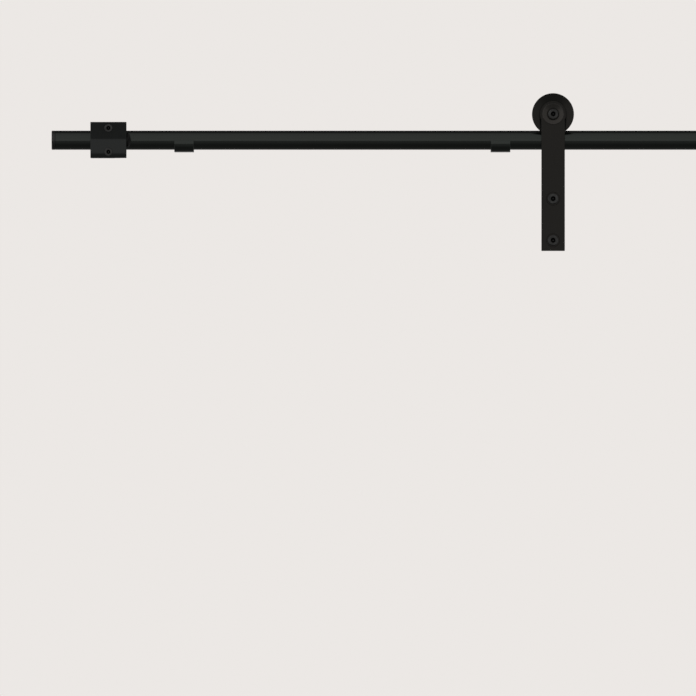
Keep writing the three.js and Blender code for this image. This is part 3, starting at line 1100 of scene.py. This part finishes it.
def sleeve_nut(node, sizes):
    """A flanged sleeve from behind the door, threaded inside, with a hexagonal socket in its flange."""
    low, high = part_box(node)
    flange_radius = (high.z - low.z) / 2
    reach = high.y - low.y
    flange = 2.2 * MM
    barrel = 5.2 * MM
    bore = 4.1 * MM
    edge = sizes.fine_edge
    corner = 0.9 * MM
    blind = reach - flange - 5 * MM
    outline = [
        (bore + edge, 0),
        (barrel - edge, 0),
        (barrel, edge),
        (barrel, reach - flange),
        (flange_radius - edge, reach - flange),
        (flange_radius, reach - flange + edge),
        (flange_radius, reach - corner),
        *arc(flange_radius - corner, reach - corner, corner, 15, 90, 5),
        (0, reach),
        (0, blind),
        (bore, blind),
        (bore, edge),
    ]
    spot = front(node)
    body = spun_ring(fine(node), outline, spot, BACK, steps=64)
    hex_socket(body, spot + BACK * reach, -BACK, 5 * MM, 3 * MM)
    return smooth(body)


# --- operators ---

class Maker:
    """What the operators share: they can be undone, and they read the scene's sizes."""

    bl_options = {"REGISTER", "UNDO"}

    def execute(self, context):
        self.make(context.scene.barn_door_sizes)
        return {"FINISHED"}


class BARN_DOOR_OT_rail(Maker, bpy.types.Operator):
    """Make the rail and its end caps"""

    bl_idname = "barn_door.rail"
    bl_label = "Rail"

    def make(self, sizes):
        deliver(rail_tube(sizes), "rail_tube")
        right = end_cap(sizes)
        left = mirrored(right, fine("end_cap_left"))
        deliver(smooth(left), "end_cap_left")
        deliver(right, "end_cap_right")


class BARN_DOOR_OT_brackets(Maker, bpy.types.Operator):
    """Make the wall brackets"""

    bl_idname = "barn_door.brackets"
    bl_label = "Brackets"

    def make(self, sizes):
        first = bracket(sizes)
        carve(first, countersink(front("wall_screw_1"), BACK, **WALL_SCREW))
        carve(first, countersink(underside("rail_screw_1"), UP, **RAIL_SCREW))
        smooth(first)
        for number in BRACKETS[1:]:
            shift = middle(f"bracket_{number}") - middle("bracket_1")
            deliver(copied(first, fine(f"bracket_{number}"), shift), f"bracket_{number}")
        deliver(first, "bracket_1")


class BARN_DOOR_OT_bracket_screws(Maker, bpy.types.Operator):
    """Make the wall screws and the screws that hold the rail in its cradles"""

    bl_idname = "barn_door.bracket_screws"
    bl_label = "Bracket Screws"

    def make(self, sizes):
        wall = countersunk_screw(
            fine("wall_screw_1"),
            front("wall_screw_1"),
            BACK,
            **WALL_SCREW,
            reach=44 * MM,
            point=7 * MM,
            thread_start=14 * MM,
            pitch=2.2 * MM,
        )
        rail = countersunk_screw(
            fine("rail_screw_1"),
            underside("rail_screw_1"),
            UP,
            **RAIL_SCREW,
            reach=8 * MM,
            point=0.6 * MM,
            thread_start=3 * MM,
            pitch=0.8 * MM,
        )
        for kind, first in (("wall_screw", wall), ("rail_screw", rail)):
            for number in BRACKETS[1:]:
                node = f"{kind}_{number}"
                shift = middle(node) - middle(f"{kind}_1")
                deliver(copied(first, fine(node), shift), node)
            deliver(first, f"{kind}_1")


class BARN_DOOR_OT_stops(Maker, bpy.types.Operator):
    """Make the two halves of each stop"""

    bl_idname = "barn_door.stops"
    bl_label = "Stops"

    def make(self, sizes):
        front_outline, rear_outline = stop_section(sizes)
        screw_hole = 2.8 * MM
        recess = {"radius": 5.6 * MM, "depth": 6 * MM, "flare": 0.5 * MM}
        front_node = "stop_left_front_half"
        front_half = stop_half(sizes, front_node, front_outline, RAIL.y - 16 * MM)
        rear_node = "stop_left_rear_half"
        rear_half = stop_half(sizes, rear_node, rear_outline, RAIL.y)
        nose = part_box(front_node)[0].y
        for level in LEVELS:
            spot = front(f"stop_left_screw_{level}")
            spot.y = nose
            carve(front_half, drill(spot, BACK, **recess, shank=screw_hole, reach=40 * MM))
            carve(rear_half, bar(spot, BACK, screw_hole, 30 * MM, 60 * MM))
        seat = middle("stop_left_bumper")
        seat.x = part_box(front_node)[1].x
        carve(front_half, bar(seat, -ALONG, 5.1 * MM, -MM, 5.3 * MM))
        for half, kind in ((front_half, "front_half"), (rear_half, "rear_half")):
            smooth(half)
            twin = mirrored(half, fine(f"stop_right_{kind}"))
            deliver(smooth(twin), f"stop_right_{kind}", "stop_coat")
            deliver(half, f"stop_left_{kind}", "stop_coat")


class BARN_DOOR_OT_bumpers(Maker, bpy.types.Operator):
    """Make the stops' rubber bumpers"""

    bl_idname = "barn_door.bumpers"
    bl_label = "Bumpers"

    def make(self, sizes):
        left = bumper()
        right = mirrored(left, fine("stop_right_bumper"))
        deliver(left, "stop_left_bumper")
        deliver(smooth(right), "stop_right_bumper")


class BARN_DOOR_OT_stop_screws(Maker, bpy.types.Operator):
    """Make the screws that clamp the stops"""

    bl_idname = "barn_door.stop_screws"
    bl_label = "Stop Screws"

    def make(self, sizes):
        pattern = "stop_{}_screw_{}"
        first_node = pattern.format("left", "upper")
        first = cap_screw(
            fine(first_node),
            front(first_node),
            head=5.3 * MM,
            head_height=6 * MM,
            shank=2.6 * MM,
            reach=46 * MM,
            socket=5 * MM,
            pitch=0.8 * MM,
            thread_length=20 * MM,
        )
        others = [pattern.format(side, level) for side in SIDES for level in LEVELS][1:]
        for node in others:
            deliver(copied(first, fine(node), middle(node) - middle(first_node)), node)
        deliver(first, first_node)


class BARN_DOOR_OT_straps(Maker, bpy.types.Operator):
    """Make the hangers' straps"""

    bl_idname = "barn_door.straps"
    bl_label = "Straps"

    def make(self, sizes):
        on_both_hangers(lambda node: strap(node, sizes), "strap_{side}", "hanger_coat")


class BARN_DOOR_OT_wheels(Maker, bpy.types.Operator):
    """Make the grooved wheels"""

    bl_idname = "barn_door.wheels"
    bl_label = "Wheels"

    def make(self, sizes):
        on_both_hangers(lambda node: wheel(node, sizes), "wheel_{side}", "hanger_coat")


class BARN_DOOR_OT_bearings(Maker, bpy.types.Operator):
    """Make the wheels' ball bearings and the circlips that keep them in"""

    bl_idname = "barn_door.bearings"
    bl_label = "Bearings"

    def make(self, sizes):
        on_both_hangers(lambda node: race(node, 1), "bearing_{side}_outer_race")
        on_both_hangers(lambda node: race(node, -1), "bearing_{side}_inner_race")
        on_both_hangers(ball_cage, "bearing_{side}_ball_cage")
        on_both_hangers(circlip, "circlip_{side}")


class BARN_DOOR_OT_axles(Maker, bpy.types.Operator):
    """Make the axle bolts with their washers, spacers and nuts"""

    bl_idname = "barn_door.axles"
    bl_label = "Axles"

    def make(self, sizes):
        on_both_hangers(lambda node: spacer(node, sizes), "axle_spacer_{side}")
        on_both_hangers(washer, "axle_washer_{side}", "washer_coat")
        on_both_hangers(hexagonal_nut, "axle_nut_{side}")
        on_both_hangers(self.bolt, "axle_bolt_{side}")

    def bolt(self, node):
        """The axle bolt."""
        return cap_screw(
            fine(node),
            front(node),
            head=6.5 * MM,
            head_height=7.6 * MM,
            shank=3.9 * MM,
            reach=size(node).y,
            socket=6 * MM,
            pitch=1.25 * MM,
            thread_length=14 * MM,
        )


class BARN_DOOR_OT_door_bolts(Maker, bpy.types.Operator):
    """Make the bolts that hold the door, and their sleeve nuts"""

    bl_idname = "barn_door.door_bolts"
    bl_label = "Door Bolts"

    def make(self, sizes):
        for level in LEVELS:
            on_both_hangers(door_bolt, f"door_bolt_{{side}}_{level}")
            on_both_hangers(lambda node: sleeve_nut(node, sizes), f"sleeve_nut_{{side}}_{level}")


class BARN_DOOR_OT_studio(Maker, bpy.types.Operator):
    """Make the camera, the light and the floor"""

    bl_idname = "barn_door.studio"
    bl_label = "Studio"

    def make(self, sizes):
        scene = bpy.context.scene
        scene.view_settings.view_transform = "Standard"
        scene.view_settings.look = "None"
        add_camera()
        add_overhead_light()
        add_floor()
        light_world(scene)


def add_camera():
    """A long lens, level and square to the wall, on the left hanger and the left end of the rail."""
    lens = 1000
    sensor = 36
    frame_width = 909.46 * MM
    sight = Vector((-612.8 * MM, RAIL.y, -271.5 * MM))
    distance = frame_width * lens / sensor
    bpy.ops.object.camera_add(location=sight - BACK * distance, rotation=(math.pi / 2, 0, 0))
    camera = bpy.context.active_object
    camera.name = "camera"
    camera.data.lens = lens
    camera.data.sensor_width = sensor
    camera.data.clip_end = 200
    bpy.context.scene.camera = camera


def add_overhead_light():
    """A long soft box over the rail."""
    bpy.ops.object.light_add(type="AREA", location=(-0.3, -0.3, 2.2))
    lamp = bpy.context.active_object
    lamp.name = "overhead_light"
    lamp.data.shape = "RECTANGLE"
    lamp.data.size = 3.6
    lamp.data.size_y = 1.2
    lamp.data.energy = 1.5
    lamp.visible_camera = False


def add_floor():
    """A pale floor, far enough below the rail for a door."""
    deselect()
    bpy.ops.mesh.primitive_plane_add(size=60, location=(0, 0, -2.1))
    floor = named("floor")
    material, recipe = finish("pale_floor")
    mottle = recipe.noise(0.6, 3.0)
    shade = recipe.mix(mottle, (0.78, 0.77, 0.75), (0.82, 0.81, 0.79))
    recipe.set(Base_Color=shade, Roughness=0.8, Emission_Color=shade, Emission_Strength=0.45)
    floor.data.materials.append(material)
    floor.visible_glossy = False
    floor.visible_diffuse = False


def light_world(scene):
    """A soft sky: bright in front of the hardware and above it, dim below, and pale where it is seen."""
    world = bpy.data.worlds.new("studio")
    world.use_nodes = True
    scene.world = world
    recipe = Recipe(world.node_tree, "ShaderNodeBackground", "ShaderNodeOutputWorld")
    direction = recipe.node("ShaderNodeTexCoord", output="Generated")
    away = recipe.node("ShaderNodeSeparateXYZ", None, {"Vector": direction}, output="Y")
    height = recipe.node("ShaderNodeSeparateXYZ", None, {"Vector": direction}, output="Z")
    aside = recipe.node("ShaderNodeSeparateXYZ", None, {"Vector": direction}, output="X")
    above = recipe.between(height, -0.21, -0.09)
    lobe = recipe.between(0 - away, -0.5, 0.75) * 0.70 + recipe.between(0 - away, 0.93, 1.0) * 0.07
    upper = 0.04 + lobe * (1 - aside * 0.45)
    lower = 0.14 + recipe.between(height, -0.9, -0.4) * 0.15
    behind = recipe.between(away, 0.8, 0.97) * 0.2
    flanks = recipe.between(aside * aside, 0.08, 0.4) * (0.3 + recipe.between(away, 0.1, 0.5) * 0.2)
    glow = lower + above * (upper - lower) + behind + flanks
    light = recipe.mix(glow, (0.0, 0.0, 0.0), (1.0, 0.985, 0.965))
    seen = recipe.node("ShaderNodeLightPath", output="Is Camera Ray")
    recipe.set(Color=recipe.mix(seen, light, (0.838, 0.807, 0.783)), Strength=1.0)


OPERATORS = (
    BARN_DOOR_OT_rail,
    BARN_DOOR_OT_brackets,
    BARN_DOOR_OT_bracket_screws,
    BARN_DOOR_OT_stops,
    BARN_DOOR_OT_bumpers,
    BARN_DOOR_OT_stop_screws,
    BARN_DOOR_OT_straps,
    BARN_DOOR_OT_wheels,
    BARN_DOOR_OT_bearings,
    BARN_DOOR_OT_axles,
    BARN_DOOR_OT_door_bolts,
    BARN_DOOR_OT_studio,
)


class BARN_DOOR_PT_panel(bpy.types.Panel):
    """Lists the hardware's makers, sizes and finishes"""

    bl_label = "Barn Door Hardware"
    bl_idname = "BARN_DOOR_PT_panel"
    bl_space_type = "VIEW_3D"
    bl_region_type = "UI"
    bl_category = "Barn Door"

    def draw(self, context):
        for operator in OPERATORS:
            self.layout.operator(operator.bl_idname)
        for group in (context.scene.barn_door_sizes, context.scene.barn_door_finishes):
            for name in group.__annotations__:
                self.layout.prop(group, name)


CLASSES = (BarnDoorSizes, BarnDoorFinishes, *OPERATORS, BARN_DOOR_PT_panel)


def register():
    for item in CLASSES:
        bpy.utils.register_class(item)
    bpy.types.Scene.barn_door_sizes = bpy.props.PointerProperty(type=BarnDoorSizes)
    bpy.types.Scene.barn_door_finishes = bpy.props.PointerProperty(type=BarnDoorFinishes)


def unregister():
    del bpy.types.Scene.barn_door_finishes
    del bpy.types.Scene.barn_door_sizes
    for item in reversed(CLASSES):
        bpy.utils.unregister_class(item)


def main():
    """Makes everything in order."""
    register()
    for operator in OPERATORS:
        name = operator.bl_idname.split(".")[1]
        getattr(bpy.ops.barn_door, name)()


if __name__ == "__main__":
    main()
